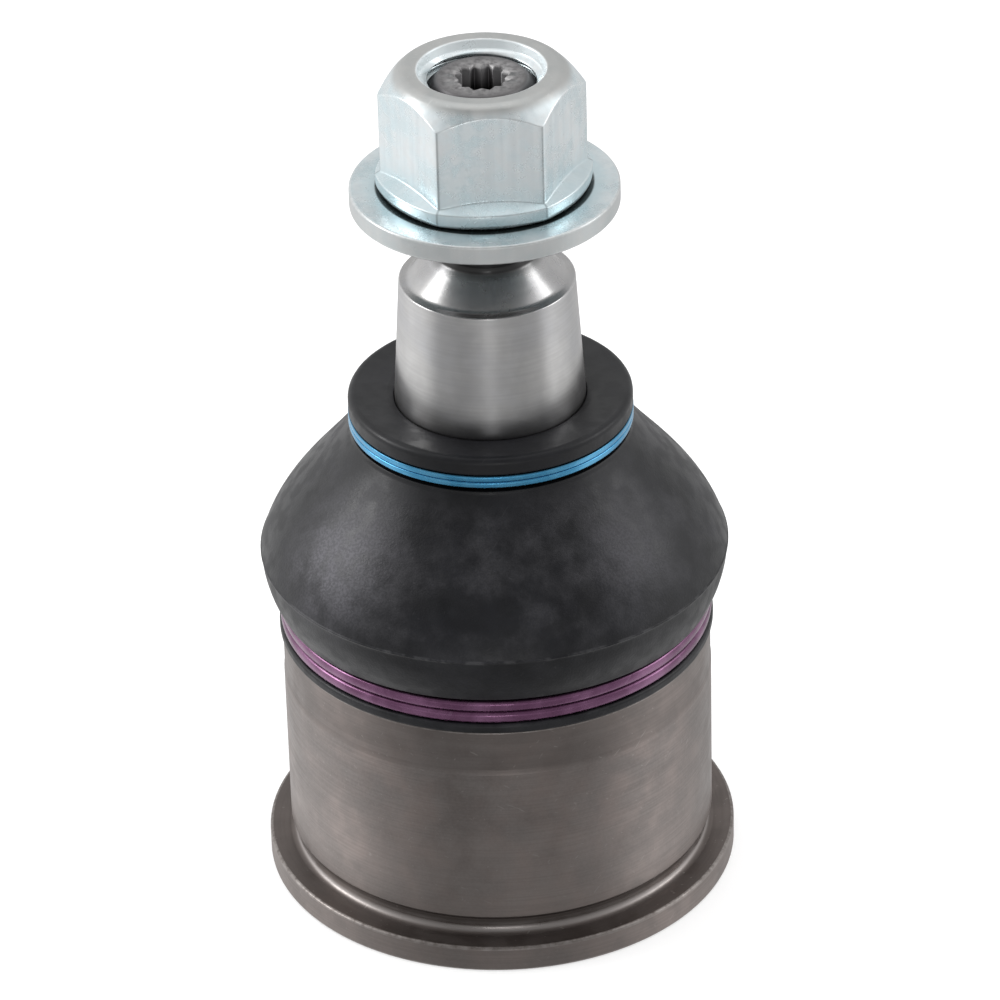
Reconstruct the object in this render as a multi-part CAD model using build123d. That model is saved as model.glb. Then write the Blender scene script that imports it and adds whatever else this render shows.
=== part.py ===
"""Press-in suspension ball joint with a tapered stud, a rubber boot and a nut with a captive washer.

Millimetres. The joint's axis is Z and its base stands on Z = 0, with the stud pointing up.
Each function returns one piece of the joint, in the place where it is fitted.
"""

import os
from math import asin, cos, pi, radians, sin, sqrt, tan

from build123d import *

# Housing, outside. Heights are stacked from the base upwards.
press_radius = 25.9
press_length = 20.7
press_edge = 0.25
flange_overhang = 2.7
flange_height = 3.3
flange_edge = 0.3
relief_height = 2.6
relief_depth = 0.7
pilot_length = 5.7
pilot_step = 0.1
boot_groove_depth = 2.5
bead_height = 1.6
bead_step = 0.9
bead_edge = 0.35

# Ball and its two bearing halves.
ball_radius = 15.0
ball_flat_radius = 4.0
ball_clearance = 0.06
bearing_wall = 3.8
bearing_clearance = 0.05
bearing_floor = 3.2
bearing_gap = 0.2
bearing_end_gap = 0.1
seat_lip_height = 2.6
mouth_lip = 0.45
swing_limit = 25.0
swing_margin = 0.5
channel_count = 6
channel_width = 1.6
channel_depth = 0.5
grease_well_radius = 5.0

# Closing cover, rolled into the base, and the coned spring on top of it.
roll_height = 0.9
roll_tip = 0.35
roll_width = 2.6
cover_ledge = 2.0
cover_thickness = 2.4
cover_clearance = 0.05
cover_dimple_radius = 8.0
cover_dimple_depth = 0.9
spring_inner_radius = 9.0
spring_side_gap = 1.3
spring_height = 1.45
spring_thickness = 0.8
spring_end_gap = 0.05

# Stud above the ball. The neck's reach is from the ball's centre, and the rest is stacked on it.
neck_radius = 8.2
neck_fillet = 2.5
neck_reach = 27.5
land_radius = 11.3
land_flare_height = 3.5
land_length = 9.6
cone_length = 15.4
cone_ratio = 8.0
shoulder_edge = 0.3
shoulder_rise = 0.4
shank_length = 25.9
undercut_depth = 0.61
undercut_height = 3.8
undercut_fillet = 0.6
stud_tip_width = 1.31
stud_tip_slope = 45.0
drive_point_radius = 3.2
drive_depth = 7.0
drive_squares = 3

# Thread of the stud and nut, drawn as plain cylinders on its pitch line.
thread_major_radius = 7.0
thread_pitch = 1.5
thread_clearance = 0.05

# Rubber boot. Its foot stands on the housing, and its radii step out and in from there to its neck.
boot_gap = 0.05
boot_wall = 1.7
boot_stations = 7
boot_foot_overhang = 0.25
boot_foot_height = 1.25
boot_waist_step = 0.15
boot_bulge_step = 1.65
boot_bulge_rise = 6.1
boot_flank_bow = 0.35
boot_shoulder_step = 1.6
boot_shoulder_rise = 3.7
boot_slope_run = 5.1
boot_slope_rise = 6.0
boot_neck_wall = 5.35
boot_neck_rise = 6.4
boot_neck_band = 0.73
boot_lip_step = 0.13
boot_lip_height = 2.3
boot_lip_edge = 0.5
boot_dish = 0.6
boot_seal_length = 6.0

# Coated wire rings that clamp the boot, each with two turns.
lower_ring_wire_width = 1.4
lower_ring_wire_height = 1.45
lower_ring_turn_gap = 0.1
lower_ring_setback = 0.2
lower_ring_top_gap = 0.52
upper_ring_wire_width = 0.95
upper_ring_wire_height = 0.74
upper_ring_turn_gap = 0.08
ring_corner = 0.2
ring_seat_gap = 0.05
ring_side_gap = 0.08
ring_step_angle = 10.0
ring_step_sections = 4
ring_start_angle = 95.0

# Nut, a little above the stud's end, and captive washer.
nut_across_flats = 21.0
nut_turn = 4.0
nut_height = 14.66
nut_above_stud = 1.1
nut_top_step = 1.1
nut_chamfer_slope = 45.0
nut_collar_overhang = 0.476
nut_collar_height = 1.95
nut_collar_edge = 0.5
nut_collar_slope = 30.0
nut_countersink_depth = 0.89
nut_spigot_wall = 1.79
nut_spigot_length = 1.85
nut_spigot_flare = 0.6
nut_spigot_edge = 0.1
washer_overhang = 3.1
washer_thickness = 2.37
washer_edge = 0.2
washer_gap = 0.05
washer_bore_clearance = 0.35

# Housing and boot: levels and radii that follow from the sizes above.
flange_radius = press_radius + flange_overhang
relief_radius = press_radius - relief_depth
pilot_radius = press_radius - pilot_step
groove_radius = press_radius - boot_groove_depth
bead_radius = groove_radius + bead_step
press_bottom = flange_height + relief_height
pilot_bottom = press_bottom + press_length
pilot_top = pilot_bottom + pilot_length
lower_ring_bottom = pilot_top + boot_foot_height + ring_side_gap
lower_ring_top = lower_ring_bottom + 2 * lower_ring_wire_height + lower_ring_turn_gap
boot_waist_height = lower_ring_top + lower_ring_top_gap
groove_top = boot_waist_height + boot_gap
housing_top = groove_top + bead_height
boot_foot_radius = press_radius + boot_foot_overhang
boot_waist_radius = boot_foot_radius + boot_waist_step
boot_bulge_radius = boot_waist_radius + boot_bulge_step
boot_shoulder_radius = boot_bulge_radius - boot_shoulder_step
boot_bulge_height = groove_top + boot_bulge_rise
boot_shoulder_height = boot_bulge_height + boot_shoulder_rise
boot_slope_height = boot_shoulder_height + boot_slope_rise
boot_neck_height = boot_slope_height + boot_neck_rise
seal_radius = land_radius + boot_gap
boot_neck_radius = seal_radius + boot_neck_wall
boot_slope_radius = boot_neck_radius + boot_slope_run
boot_lip_radius = boot_neck_radius + boot_lip_step
upper_ring_bottom = boot_neck_height + boot_neck_band + ring_side_gap
upper_ring_top = upper_ring_bottom + 2 * upper_ring_wire_height + upper_ring_turn_gap
boot_lip_bottom = upper_ring_top + ring_side_gap
boot_top = boot_lip_bottom + boot_lip_height
lower_ring_seat = boot_foot_radius - lower_ring_wire_width - lower_ring_setback
upper_ring_seat = boot_lip_radius - upper_ring_wire_width

# Ball and bearing. The seat's edge clears the neck's fillet when the stud leans as far as it can.
socket_radius = ball_radius + ball_clearance
bearing_radius = socket_radius + bearing_wall
bore_radius = bearing_radius + bearing_clearance
cover_radius = bore_radius + cover_ledge
spring_outer_radius = bore_radius - spring_side_gap
step_height = roll_height + cover_thickness
spring_crown = step_height + spring_height
bearing_bottom = spring_crown + spring_end_gap
ball_height = bearing_bottom + bearing_floor + ball_radius
fillet_angle = asin((neck_radius + neck_fillet) / (ball_radius + neck_fillet))
seat_edge_angle = fillet_angle + radians(swing_limit + swing_margin)
seat_edge_radius = socket_radius * sin(seat_edge_angle)
seat_edge_height = ball_height + socket_radius * cos(seat_edge_angle)
bearing_top = seat_edge_height + seat_lip_height
mouth_slope = tan(radians(swing_limit))
seat_mouth_radius = seat_edge_radius + mouth_slope * seat_lip_height

# Stud, nut and washer.
neck_top = ball_height + neck_reach
land_bottom = neck_top + land_flare_height
cone_bottom = land_bottom + land_length
cone_top = cone_bottom + cone_length
cone_top_radius = land_radius - cone_length / (2 * cone_ratio)
stud_top = cone_top + shank_length
shank_radius = thread_major_radius - 0.75 * thread_pitch * sqrt(3) / 4
undercut_radius = shank_radius - undercut_depth
stud_tip_radius = shank_radius - stud_tip_width
nut_bore_radius = shank_radius + thread_clearance
nut_countersink_radius = nut_bore_radius + nut_countersink_depth
nut_spigot_radius = nut_bore_radius + nut_spigot_wall
nut_collar_radius = nut_across_flats / sqrt(3) + nut_collar_overhang
nut_top_circle_radius = nut_across_flats / 2 - nut_top_step
nut_top = stud_top + nut_above_stud
nut_bottom = nut_top - nut_height
washer_radius = nut_collar_radius + washer_overhang
washer_top = nut_bottom - washer_gap
washer_bottom = washer_top - washer_thickness


def turned(*edges):
    """Turn a closed outline of (radius, height) edges once round the joint's axis."""
    return revolve(Plane.XZ * make_face(edges), Axis.Z)


def turned_points(*points):
    """Turn a closed outline of straight lines between (radius, height) points."""
    return turned(Polyline(*points, close=True))


def slope_run(slope, run):
    """Rise of a cone, given its slope in degrees from the flat and its radial run."""
    return run * tan(radians(slope))


def housing():
    """Turned body: flange, ground press-fit land, boot groove, and a bore that opens downwards."""
    mouth_bottom = bearing_top + bearing_end_gap
    mouth_radius = seat_mouth_radius + mouth_lip
    mouth_top_radius = mouth_radius + mouth_slope * (housing_top - mouth_bottom)
    roll_radius = cover_radius + cover_clearance
    return turned_points(
        (roll_radius - roll_width, 0),
        (flange_radius - flange_edge, 0),
        (flange_radius, flange_edge),
        (flange_radius, flange_height - flange_edge),
        (flange_radius - flange_edge, flange_height),
        (relief_radius, flange_height),
        (relief_radius, press_bottom - relief_depth + press_edge),
        (press_radius - press_edge, press_bottom),
        (press_radius, press_bottom + press_edge),
        (press_radius, pilot_bottom),
        (pilot_radius, pilot_bottom + pilot_step),
        (pilot_radius, pilot_top - press_edge),
        (pilot_radius - press_edge, pilot_top),
        (groove_radius, pilot_top),
        (groove_radius, groove_top),
        (bead_radius, groove_top),
        (bead_radius, housing_top - bead_edge),
        (bead_radius - bead_edge, housing_top),
        (mouth_top_radius, housing_top),
        (mouth_radius, mouth_bottom),
        (bore_radius, mouth_bottom),
        (bore_radius, step_height),
        (roll_radius, step_height),
        (roll_radius, roll_height),
        (roll_radius - roll_width, roll_tip),
    )


def closing_cover():
    """Steel plate that closes the base, with a pressed dimple and a bevel for the rolled edge."""
    bevel_radius = cover_radius + cover_clearance - roll_width
    return turned_points(
        (0, roll_tip + cover_dimple_depth),
        (cover_dimple_radius - cover_dimple_depth, roll_tip + cover_dimple_depth),
        (cover_dimple_radius, roll_tip + cover_clearance),
        (bevel_radius, roll_tip + cover_clearance),
        (cover_radius, roll_height + cover_clearance),
        (cover_radius, step_height),
        (0, step_height),
    )


def preload_spring():
    """Coned spring washer between the cover and the lower bearing half."""
    return turned_points(
        (spring_inner_radius, spring_crown - spring_thickness),
        (spring_outer_radius, step_height),
        (spring_outer_radius, step_height + spring_thickness),
        (spring_inner_radius, spring_crown),
    )


def ball_cavity():
    """Space for the ball, with grease channels that run down its sides like lines of longitude."""
    cavity = Sphere(socket_radius)
    channels = Sphere(socket_radius + channel_depth)
    blades = Sketch() + [
        Rot(0, 0, 360 * i / channel_count) * Rectangle(4 * ball_radius, channel_width)
        for i in range(channel_count)
    ]
    channels &= extrude(blades, amount=2 * ball_radius, both=True)
    return Pos(0, 0, ball_height) * (cavity + channels)


def lower_seat():
    """Moulded bearing half under the ball, with a grease well in its floor."""
    blank = turned_points(
        (grease_well_radius, bearing_bottom),
        (bearing_radius, bearing_bottom),
        (bearing_radius, ball_height - bearing_gap / 2),
        (grease_well_radius, ball_height - bearing_gap / 2),
    )
    return blank - ball_cavity()


def upper_seat():
    """Moulded bearing half over the ball, flared where the stud leans against it."""
    blank = turned_points(
        (seat_edge_radius, ball_height + bearing_gap / 2),
        (bearing_radius, ball_height + bearing_gap / 2),
        (bearing_radius, bearing_top),
        (seat_mouth_radius, bearing_top),
        (seat_edge_radius, seat_edge_height),
    )
    return blank - ball_cavity()


def drive_socket():
    """Triple-square socket sunk in the stud's end, with a drilled cone for its floor."""
    side = drive_point_radius * sqrt(2)
    star = Sketch() + [
        Rot(0, 0, 90 * i / drive_squares) * Rectangle(side, side) for i in range(drive_squares)
    ]
    floor = stud_top - drive_depth
    drilled = turned_points((0, floor - side / 4), (side / 2, floor), (0, floor))
    return Pos(0, 0, floor) * extrude(star, amount=drive_depth) + drilled


def ball_stud():
    """Forged stud: ball, neck, seal land, locking cone, undercut and threaded shank."""
    ball_bottom = ball_height - sqrt(ball_radius**2 - ball_flat_radius**2)
    neck_foot = ball_height + sqrt(ball_radius**2 - neck_radius**2)
    shoulder_radius = cone_top_radius - shoulder_edge
    undercut_bottom = cone_top + shoulder_rise
    undercut_top = undercut_bottom + undercut_height
    thread_start = undercut_top + (shank_radius - undercut_radius)
    tip_rise = slope_run(stud_tip_slope, shank_radius - stud_tip_radius)
    foot = Vector(neck_radius, neck_foot)
    root = Vector(undercut_radius, undercut_bottom)
    body = Polyline(
        foot,
        (neck_radius, neck_top),
        (land_radius, land_bottom),
        (land_radius, cone_bottom),
        (cone_top_radius, cone_top - shoulder_edge),
        (shoulder_radius, cone_top),
        root,
        (undercut_radius, undercut_top),
        (shank_radius, thread_start),
        (shank_radius, stud_top - tip_rise),
        (stud_tip_radius, stud_top),
        (0, stud_top),
        (0, ball_bottom),
        (ball_flat_radius, ball_bottom),
    )
    ball = ThreePointArc((ball_flat_radius, ball_bottom), (ball_radius, ball_height), foot)
    outline = make_face([*body.edges(), ball])
    outline = fillet(outline.vertices().sort_by_distance(foot)[0], neck_fillet)
    outline = fillet(outline.vertices().sort_by_distance(root)[0], undercut_fillet)
    return revolve(Plane.XZ * outline, Axis.Z) - drive_socket()


def boot_flank():
    """Lower side of the bellows, bowed a little, from the waist up to the parting line."""
    waist = (boot_waist_radius, boot_waist_height)
    return SagittaArc(waist, (boot_bulge_radius, boot_bulge_height), -boot_flank_bow)


def boot_crown():
    """Upper side of the bellows, from the parting line over the shoulder to the neck."""
    return Spline(
        (boot_bulge_radius, boot_bulge_height),
        (boot_shoulder_radius, boot_shoulder_height),
        (boot_slope_radius, boot_slope_height),
        (boot_neck_radius, boot_neck_height),
    )


def boot_inside(crown):
    """Inside of the bellows: points one wall thickness in from its crown, square to it."""
    points = []
    for station in range(boot_stations):
        share = station / boot_stations
        along = crown % share
        inward = Vector(-along.Y, along.X)
        points.append(crown @ share + inward * boot_wall)
    return Spline(*points)


def boot():
    """Rubber boot: a foot in the housing's groove, a bellows, and a thick sealing lip on the stud."""
    crown = boot_crown()
    inside = boot_inside(crown)
    foot_inner = groove_radius + boot_gap
    bead_side = bead_radius + boot_gap
    foot_top = pilot_top + boot_foot_height
    upper_seat_low = upper_ring_bottom - ring_side_gap
    seal_top = boot_top - boot_dish
    below = Polyline(
        inside @ 0,
        (bead_side, housing_top + boot_gap),
        (bead_side, groove_top - boot_gap),
        (foot_inner, groove_top - boot_gap),
        (foot_inner, pilot_top),
        (boot_foot_radius, pilot_top),
        (boot_foot_radius, foot_top),
        (lower_ring_seat, foot_top),
        (lower_ring_seat, boot_waist_height),
        (boot_waist_radius, boot_waist_height),
    )
    above = Polyline(
        crown @ 1,
        (boot_neck_radius, upper_seat_low),
        (upper_ring_seat, upper_seat_low),
        (upper_ring_seat, boot_lip_bottom),
        (boot_lip_radius, boot_lip_bottom),
        (boot_lip_radius, boot_top - boot_lip_edge),
        (boot_lip_radius - boot_lip_edge, boot_top),
        (seal_radius + boot_dish, seal_top),
        (seal_radius, seal_top),
        (seal_radius, seal_top - boot_seal_length),
        inside @ 1,
    )
    return turned(*below.edges(), boot_flank(), crown, *above.edges(), inside)


def wire_ring(inner_radius, bottom, width, height, turn_gap):
    """Two flat turns of wire, one on the other, joined by a short step from turn to turn."""
    middle_radius = inner_radius + width / 2
    heights = (bottom + height / 2, bottom + 1.5 * height + turn_gap)
    section = chamfer(Rectangle(width, height).vertices(), ring_corner)

    def wire_end(angle, level):
        outward = Vector(cos(radians(angle)), sin(radians(angle)))
        along = Vector(outward.Y, -outward.X)
        place = outward * middle_radius + Vector(0, 0, level)
        return Plane(origin=place, x_dir=outward, z_dir=along) * section

    def step_end(share):
        eased = (1 - cos(pi * share)) / 2
        angle = ring_start_angle - ring_step_angle * (1 - share)
        return wire_end(angle, heights[0] + eased * (heights[1] - heights[0]))

    turn_arc = 360 - ring_step_angle
    turns = [revolve(wire_end(ring_start_angle, level), Axis.Z, turn_arc) for level in heights]
    step = loft([step_end(i / ring_step_sections) for i in range(ring_step_sections + 1)])
    return turns[0] + step + turns[1]


def lower_ring():
    """Coated ring that clamps the boot's foot into the housing's groove."""
    return wire_ring(
        lower_ring_seat + ring_seat_gap,
        lower_ring_bottom,
        lower_ring_wire_width,
        lower_ring_wire_height,
        lower_ring_turn_gap,
    )


def upper_ring():
    """Thin coated ring that closes the boot's lip on the stud."""
    return wire_ring(
        upper_ring_seat + ring_seat_gap,
        upper_ring_bottom,
        upper_ring_wire_width,
        upper_ring_wire_height,
        upper_ring_turn_gap,
    )


def captive_washer():
    """Flat washer, recessed underneath for the flared end of the nut's spigot."""
    bore = nut_spigot_radius + washer_bore_clearance
    recess = bore + nut_spigot_flare
    recess_top = washer_top - nut_spigot_length + 2 * nut_spigot_flare
    return turned_points(
        (recess, washer_bottom),
        (washer_radius - washer_edge, washer_bottom),
        (washer_radius, washer_bottom + washer_edge),
        (washer_radius, washer_top - washer_edge),
        (washer_radius - washer_edge, washer_top),
        (bore, washer_top),
        (bore, recess_top),
        (recess, recess_top - nut_spigot_flare),
    )


def hex_nut():
    """Hexagon nut with a coned collar, a countersunk top and a flared spigot under it."""
    blank_radius = nut_across_flats
    hexagon = RegularPolygon(nut_across_flats / 2, 6, major_radius=False, rotation=nut_turn)
    prism = Pos(0, 0, nut_bottom) * extrude(hexagon, amount=nut_top - nut_bottom)
    chamfer_bottom = nut_top - slope_run(nut_chamfer_slope, blank_radius - nut_top_circle_radius)
    prism &= turned_points(
        (0, chamfer_bottom),
        (blank_radius, chamfer_bottom),
        (nut_top_circle_radius, nut_top),
        (0, nut_top),
    )
    collar_top = nut_bottom + nut_collar_height
    collar = turned_points(
        (0, nut_bottom),
        (nut_collar_radius - nut_collar_edge, nut_bottom),
        (nut_collar_radius, nut_bottom + nut_collar_edge),
        (nut_collar_radius, collar_top),
        (0, collar_top + slope_run(nut_collar_slope, nut_collar_radius)),
    )
    spigot_bottom = nut_bottom - nut_spigot_length
    flare_radius = nut_spigot_radius + nut_spigot_flare
    spigot = turned_points(
        (0, spigot_bottom),
        (flare_radius - nut_spigot_edge, spigot_bottom),
        (nut_spigot_radius, spigot_bottom + nut_spigot_flare),
        (nut_spigot_radius, nut_bottom),
        (0, nut_bottom),
    )
    hole = turned_points(
        (0, spigot_bottom),
        (nut_bore_radius, spigot_bottom),
        (nut_bore_radius, nut_top - nut_countersink_depth),
        (nut_countersink_radius, nut_top),
        (0, nut_top),
    )
    return prism + collar + spigot - hole


PIECES = (
    housing,
    closing_cover,
    preload_spring,
    lower_seat,
    upper_seat,
    ball_stud,
    boot,
    lower_ring,
    upper_ring,
    captive_washer,
    hex_nut,
)

os.makedirs("parts", exist_ok=True)
for piece in PIECES:
    export_step(piece(), f"parts/{piece.__name__}.step")
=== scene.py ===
"""Looks of a press-in suspension ball joint: turned steel, moulded rubber, coated wire and zinc plate.

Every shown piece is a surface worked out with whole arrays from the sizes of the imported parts.
Outlines are (radius, height) in millimetres, and MM scales them to the scene's metres.
"""

import math

import bpy
import numpy as np
from mathutils import Matrix, Vector


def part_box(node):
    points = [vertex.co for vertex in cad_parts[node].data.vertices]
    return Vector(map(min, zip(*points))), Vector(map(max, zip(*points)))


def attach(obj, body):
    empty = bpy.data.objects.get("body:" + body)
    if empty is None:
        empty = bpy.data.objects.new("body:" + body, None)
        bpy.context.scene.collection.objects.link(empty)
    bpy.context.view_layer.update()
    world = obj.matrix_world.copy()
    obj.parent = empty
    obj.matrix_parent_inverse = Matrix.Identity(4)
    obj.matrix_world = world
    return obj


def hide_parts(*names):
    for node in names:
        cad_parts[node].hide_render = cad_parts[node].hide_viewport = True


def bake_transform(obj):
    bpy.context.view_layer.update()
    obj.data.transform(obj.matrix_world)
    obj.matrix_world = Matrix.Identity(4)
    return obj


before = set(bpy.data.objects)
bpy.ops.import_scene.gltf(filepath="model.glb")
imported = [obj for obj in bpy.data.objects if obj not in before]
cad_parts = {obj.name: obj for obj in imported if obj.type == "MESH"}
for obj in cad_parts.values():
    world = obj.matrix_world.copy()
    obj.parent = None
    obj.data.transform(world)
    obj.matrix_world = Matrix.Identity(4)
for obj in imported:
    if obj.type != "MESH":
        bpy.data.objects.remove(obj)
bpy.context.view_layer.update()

MM = 0.001


# ---------------------------------------------------------------------------
# Sizes in millimetres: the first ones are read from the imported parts
# ---------------------------------------------------------------------------

def span(node):
    """Outer radius, lowest and highest level of a round CAD node, in millimetres."""
    low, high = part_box(node)
    return high.x / MM, low.z / MM, high.z / MM


FLANGE_R, _, HOUSING_TOP = span("housing")
_, BOOT_LOW, BOOT_TOP = span("boot")
_, UPPER_RING_LOW, UPPER_RING_TOP = span("upper_ring")
WASHER_R, WASHER_LOW, WASHER_TOP = span("captive_washer")
COLLAR_R, NUT_LOW, NUT_TOP = span("hex_nut")
BALL_R, _, STUD_TOP = span("ball_stud")
SEAT_R, _, SEAT_TOP = span("upper_seat")
COVER_R, _, COVER_TOP = span("closing_cover")

FLANGE_TOP = 3.3        # upper face of the housing's flange
RELIEF_R = 25.2         # relief groove between the flange and the ground land
RELIEF_TOP = 5.9
PRESS_R = 25.9          # ground land of the housing
PILOT_LOW = 26.6        # the slightly smaller pilot over it
GROOVE_R = 23.4         # groove for the boot's foot
GROOVE_LOW = 32.3
GROOVE_TOP = HOUSING_TOP - 1.6

PARTING_Z = 43.3        # the boot's parting line

BALL_Z = 23.0
NECK_R = 8.2
LAND_R = 11.3           # seal land of the stud, under its cone
LAND_LOW = 54.0
LAND_FOOT = 62.4        # where the shaft comes out of the boot
CONE_LOW = 63.6
CONE_TOP = 79.0
CONE_TOP_R = 10.3375
SHOULDER_R = 9.3        # outer edge of the coned shoulder
UNDERCUT_R = 5.9
THREAD_LOW = 83.9
END_R = 5.2             # the stud's end inside its chamfer
SOCKET_R = 3.2          # drive socket, over its points
SOCKET_DEPTH = 7.0

PITCH = 1.5
MAJOR_R = 7.0
MINOR_R = 6.08
NUT_BOTTOM = NUT_LOW + 1.85
FLATS_R = 10.5
NUT_TURN = math.radians(4.0)
SPIGOT_R = 8.35         # the nut's spigot, flared under the washer
SINK_R = 7.45           # countersink in the nut's top face


# ---------------------------------------------------------------------------
# Surfaces
# ---------------------------------------------------------------------------

def mesh_object(name, points, faces, edge=None):
    """Mesh from an (n, 3) array in millimetres and lists of corner rows; edge is a wear value per point."""
    mesh = bpy.data.meshes.new(name)
    mesh.from_pydata((points * MM).tolist(), [], faces)
    mesh.update()
    mesh.shade_smooth()
    if edge is not None:
        layer = mesh.attributes.new("edge", "FLOAT", "POINT")
        layer.data.foreach_set("value", np.asarray(edge, np.float32))
    obj = bpy.data.objects.new(name, mesh)
    bpy.context.scene.collection.objects.link(obj)
    return obj


def volume(points, faces):
    """Signed volume of a closed mesh: sum of a . (b x c) / 6 over its triangle fans."""
    total = 0.0
    for size in (3, 4):
        rows = np.array([f for f in faces if len(f) == size], int).reshape(-1, size)
        for k in range(1, size - 1):
            a, b, c = points[rows[:, 0]], points[rows[:, k]], points[rows[:, k + 1]]
            total += np.einsum("ij,ij->i", a, np.cross(b, c)).sum() / 6
    return total


def grid_object(name, grid, edge=None, loop=True):
    """Closed surface from a (turns, rows, 3) grid that wraps round in its first direction.

    With loop the rows close on themselves as well; without it the two end rings get a pole each,
    at the mean of the ring, joined by a fan.
    """
    turns, rows, _ = grid.shape
    index = np.arange(turns * rows).reshape(turns, rows)
    ahead = np.roll(index, -1, 0)
    if loop:
        quads = np.stack([index, ahead, np.roll(ahead, -1, 1), np.roll(index, -1, 1)], -1)
        faces = quads.reshape(-1, 4).tolist()
        points = grid.reshape(-1, 3)
    else:
        quads = np.stack([index[:, :-1], ahead[:, :-1], ahead[:, 1:], index[:, 1:]], -1)
        first, last = turns * rows, turns * rows + 1
        fan = [[first, b, a] for a, b in zip(index[:, 0].tolist(), ahead[:, 0].tolist())]
        fan += [[last, a, b] for a, b in zip(index[:, -1].tolist(), ahead[:, -1].tolist())]
        faces = quads.reshape(-1, 4).tolist() + fan
        points = np.concatenate([grid.reshape(-1, 3), grid[:, 0].mean(0)[None], grid[:, -1].mean(0)[None]])
    if volume(points, faces) < 0:
        faces = [f[::-1] for f in faces]
    wear = None
    if edge is not None:
        wear = np.broadcast_to(edge, (turns, rows)).reshape(-1)
        if not loop:
            wear = np.concatenate([wear, [0, 0]])
    return mesh_object(name, points, faces, wear)


def around(t, radius, level):
    """Grid of points (radius cos t, radius sin t, level) from (turns, rows) arrays of radius and level."""
    return np.stack([radius * np.cos(t)[:, None], radius * np.sin(t)[:, None], level], -1)


ARC_STEPS = 5           # straight pieces in a softened corner
GUARD = 0.03            # distance of the guard points from an arc's ends
CORNER_ROWS = ARC_STEPS + 3


def softened(corners, steps=ARC_STEPS):
    """Outline with each (radius, height, fillet) corner turned into an arc between two guard points.

    With half the corner's angle h, the arc starts fillet / tan(h) from the corner and its centre
    lies fillet / sin(h) away along the bisector. Also works on a stack of outlines, shape (m, n, 3).
    Returns steps + 3 points per corner, and their wear: up to 1 on the arcs of outward corners.
    """
    corners = np.asarray(corners, float)
    place, fillet = corners[..., :2], corners[..., 2:]
    back = np.roll(place, 1, -2) - place
    on = np.roll(place, -1, -2) - place
    bend = back[..., 1] * on[..., 0] - back[..., 0] * on[..., 1]
    winding = (place[..., 0] * on[..., 1] - place[..., 1] * on[..., 0]).sum(-1, keepdims=True)
    exposed = (bend * winding > 0) * np.clip(fillet[..., 0] / 0.3, 0, 1)
    back /= np.linalg.norm(back, axis=-1, keepdims=True) + 1e-12
    on /= np.linalg.norm(on, axis=-1, keepdims=True) + 1e-12
    half = np.arccos(np.clip((back * on).sum(-1, keepdims=True), -1, 1)) / 2
    cut = fillet / np.tan(np.clip(half, 0.02, 1.5707))
    bisector = back + on
    bisector /= np.linalg.norm(bisector, axis=-1, keepdims=True) + 1e-12
    centre = place + bisector * fillet / np.sin(half)
    start, stop = place + back * cut - centre, place + on * cut - centre
    turn = math.pi - 2 * half
    exposed = exposed * np.clip(turn[..., 0] / 0.8, 0, 1)
    rows = [place + back * (cut + GUARD * (fillet > 0))]
    for s in np.linspace(0, 1, steps + 1):
        rows.append(centre + (np.sin((1 - s) * turn) * start + np.sin(s * turn) * stop)
                    / np.clip(np.sin(turn), 1e-6, None))
    rows.append(place + on * (cut + GUARD * (fillet > 0)))
    points = np.stack(rows, -2)
    worn = exposed[..., None] * np.r_[0, np.ones(steps + 1), 0]
    sharp = np.broadcast_to(fillet[..., None] <= 0, points.shape)
    points = np.where(sharp, place[..., None, :], points)
    shape = points.shape[:-3] + (-1, 2)
    return points.reshape(shape), worn.reshape(shape[:-1])


def turned(name, outline, edge=None, turns=288):
    """Surface of revolution P(t, s) = (R(s) cos t, R(s) sin t, Z(s)) of a closed outline in millimetres."""
    outline = np.asarray(outline, float)
    keep = np.ones(len(outline), bool)
    keep[1:] = np.linalg.norm(np.diff(outline, axis=0), axis=1) > 1e-5
    outline = outline[keep]
    edge = None if edge is None else np.asarray(edge)[keep]
    t = np.linspace(0, 2 * math.pi, turns, endpoint=False) + math.pi / 2
    radius, level = [np.broadcast_to(row, (turns, len(outline))) for row in outline.T]
    return grid_object(name, around(t, radius, level), edge)


def smooth_curve(knots, count):
    """Catmull-Rom curve through (radius, height) knots, count points per span."""
    k = np.asarray(knots, float)
    k = np.concatenate([2 * k[:1] - k[1:2], k, 2 * k[-1:] - k[-2:-1]])
    u = np.linspace(0, 1, count, endpoint=False)[:, None]
    spans = []
    for a, b, c, d in zip(k[:-3], k[1:-2], k[2:-1], k[3:]):
        spans.append(0.5 * (2 * b + (c - a) * u + (2 * a - 5 * b + 4 * c - d) * u**2
                            + (3 * b - a - 3 * c + d) * u**3))
    return np.concatenate(spans + [k[-2:-1]])


def thread_wave(level, t, shift=0.0):
    """Triangle wave of the phase level / pitch - t / (2 pi) + shift, cut off flat at 0 and at 1."""
    phase = np.mod(level / PITCH - t[:, None] / (2 * math.pi) + shift, 1.0)
    return np.clip(1.25 * np.abs(2 * phase - 1) - 0.1, 0, 1)


# ---------------------------------------------------------------------------
# Pieces
# ---------------------------------------------------------------------------

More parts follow.
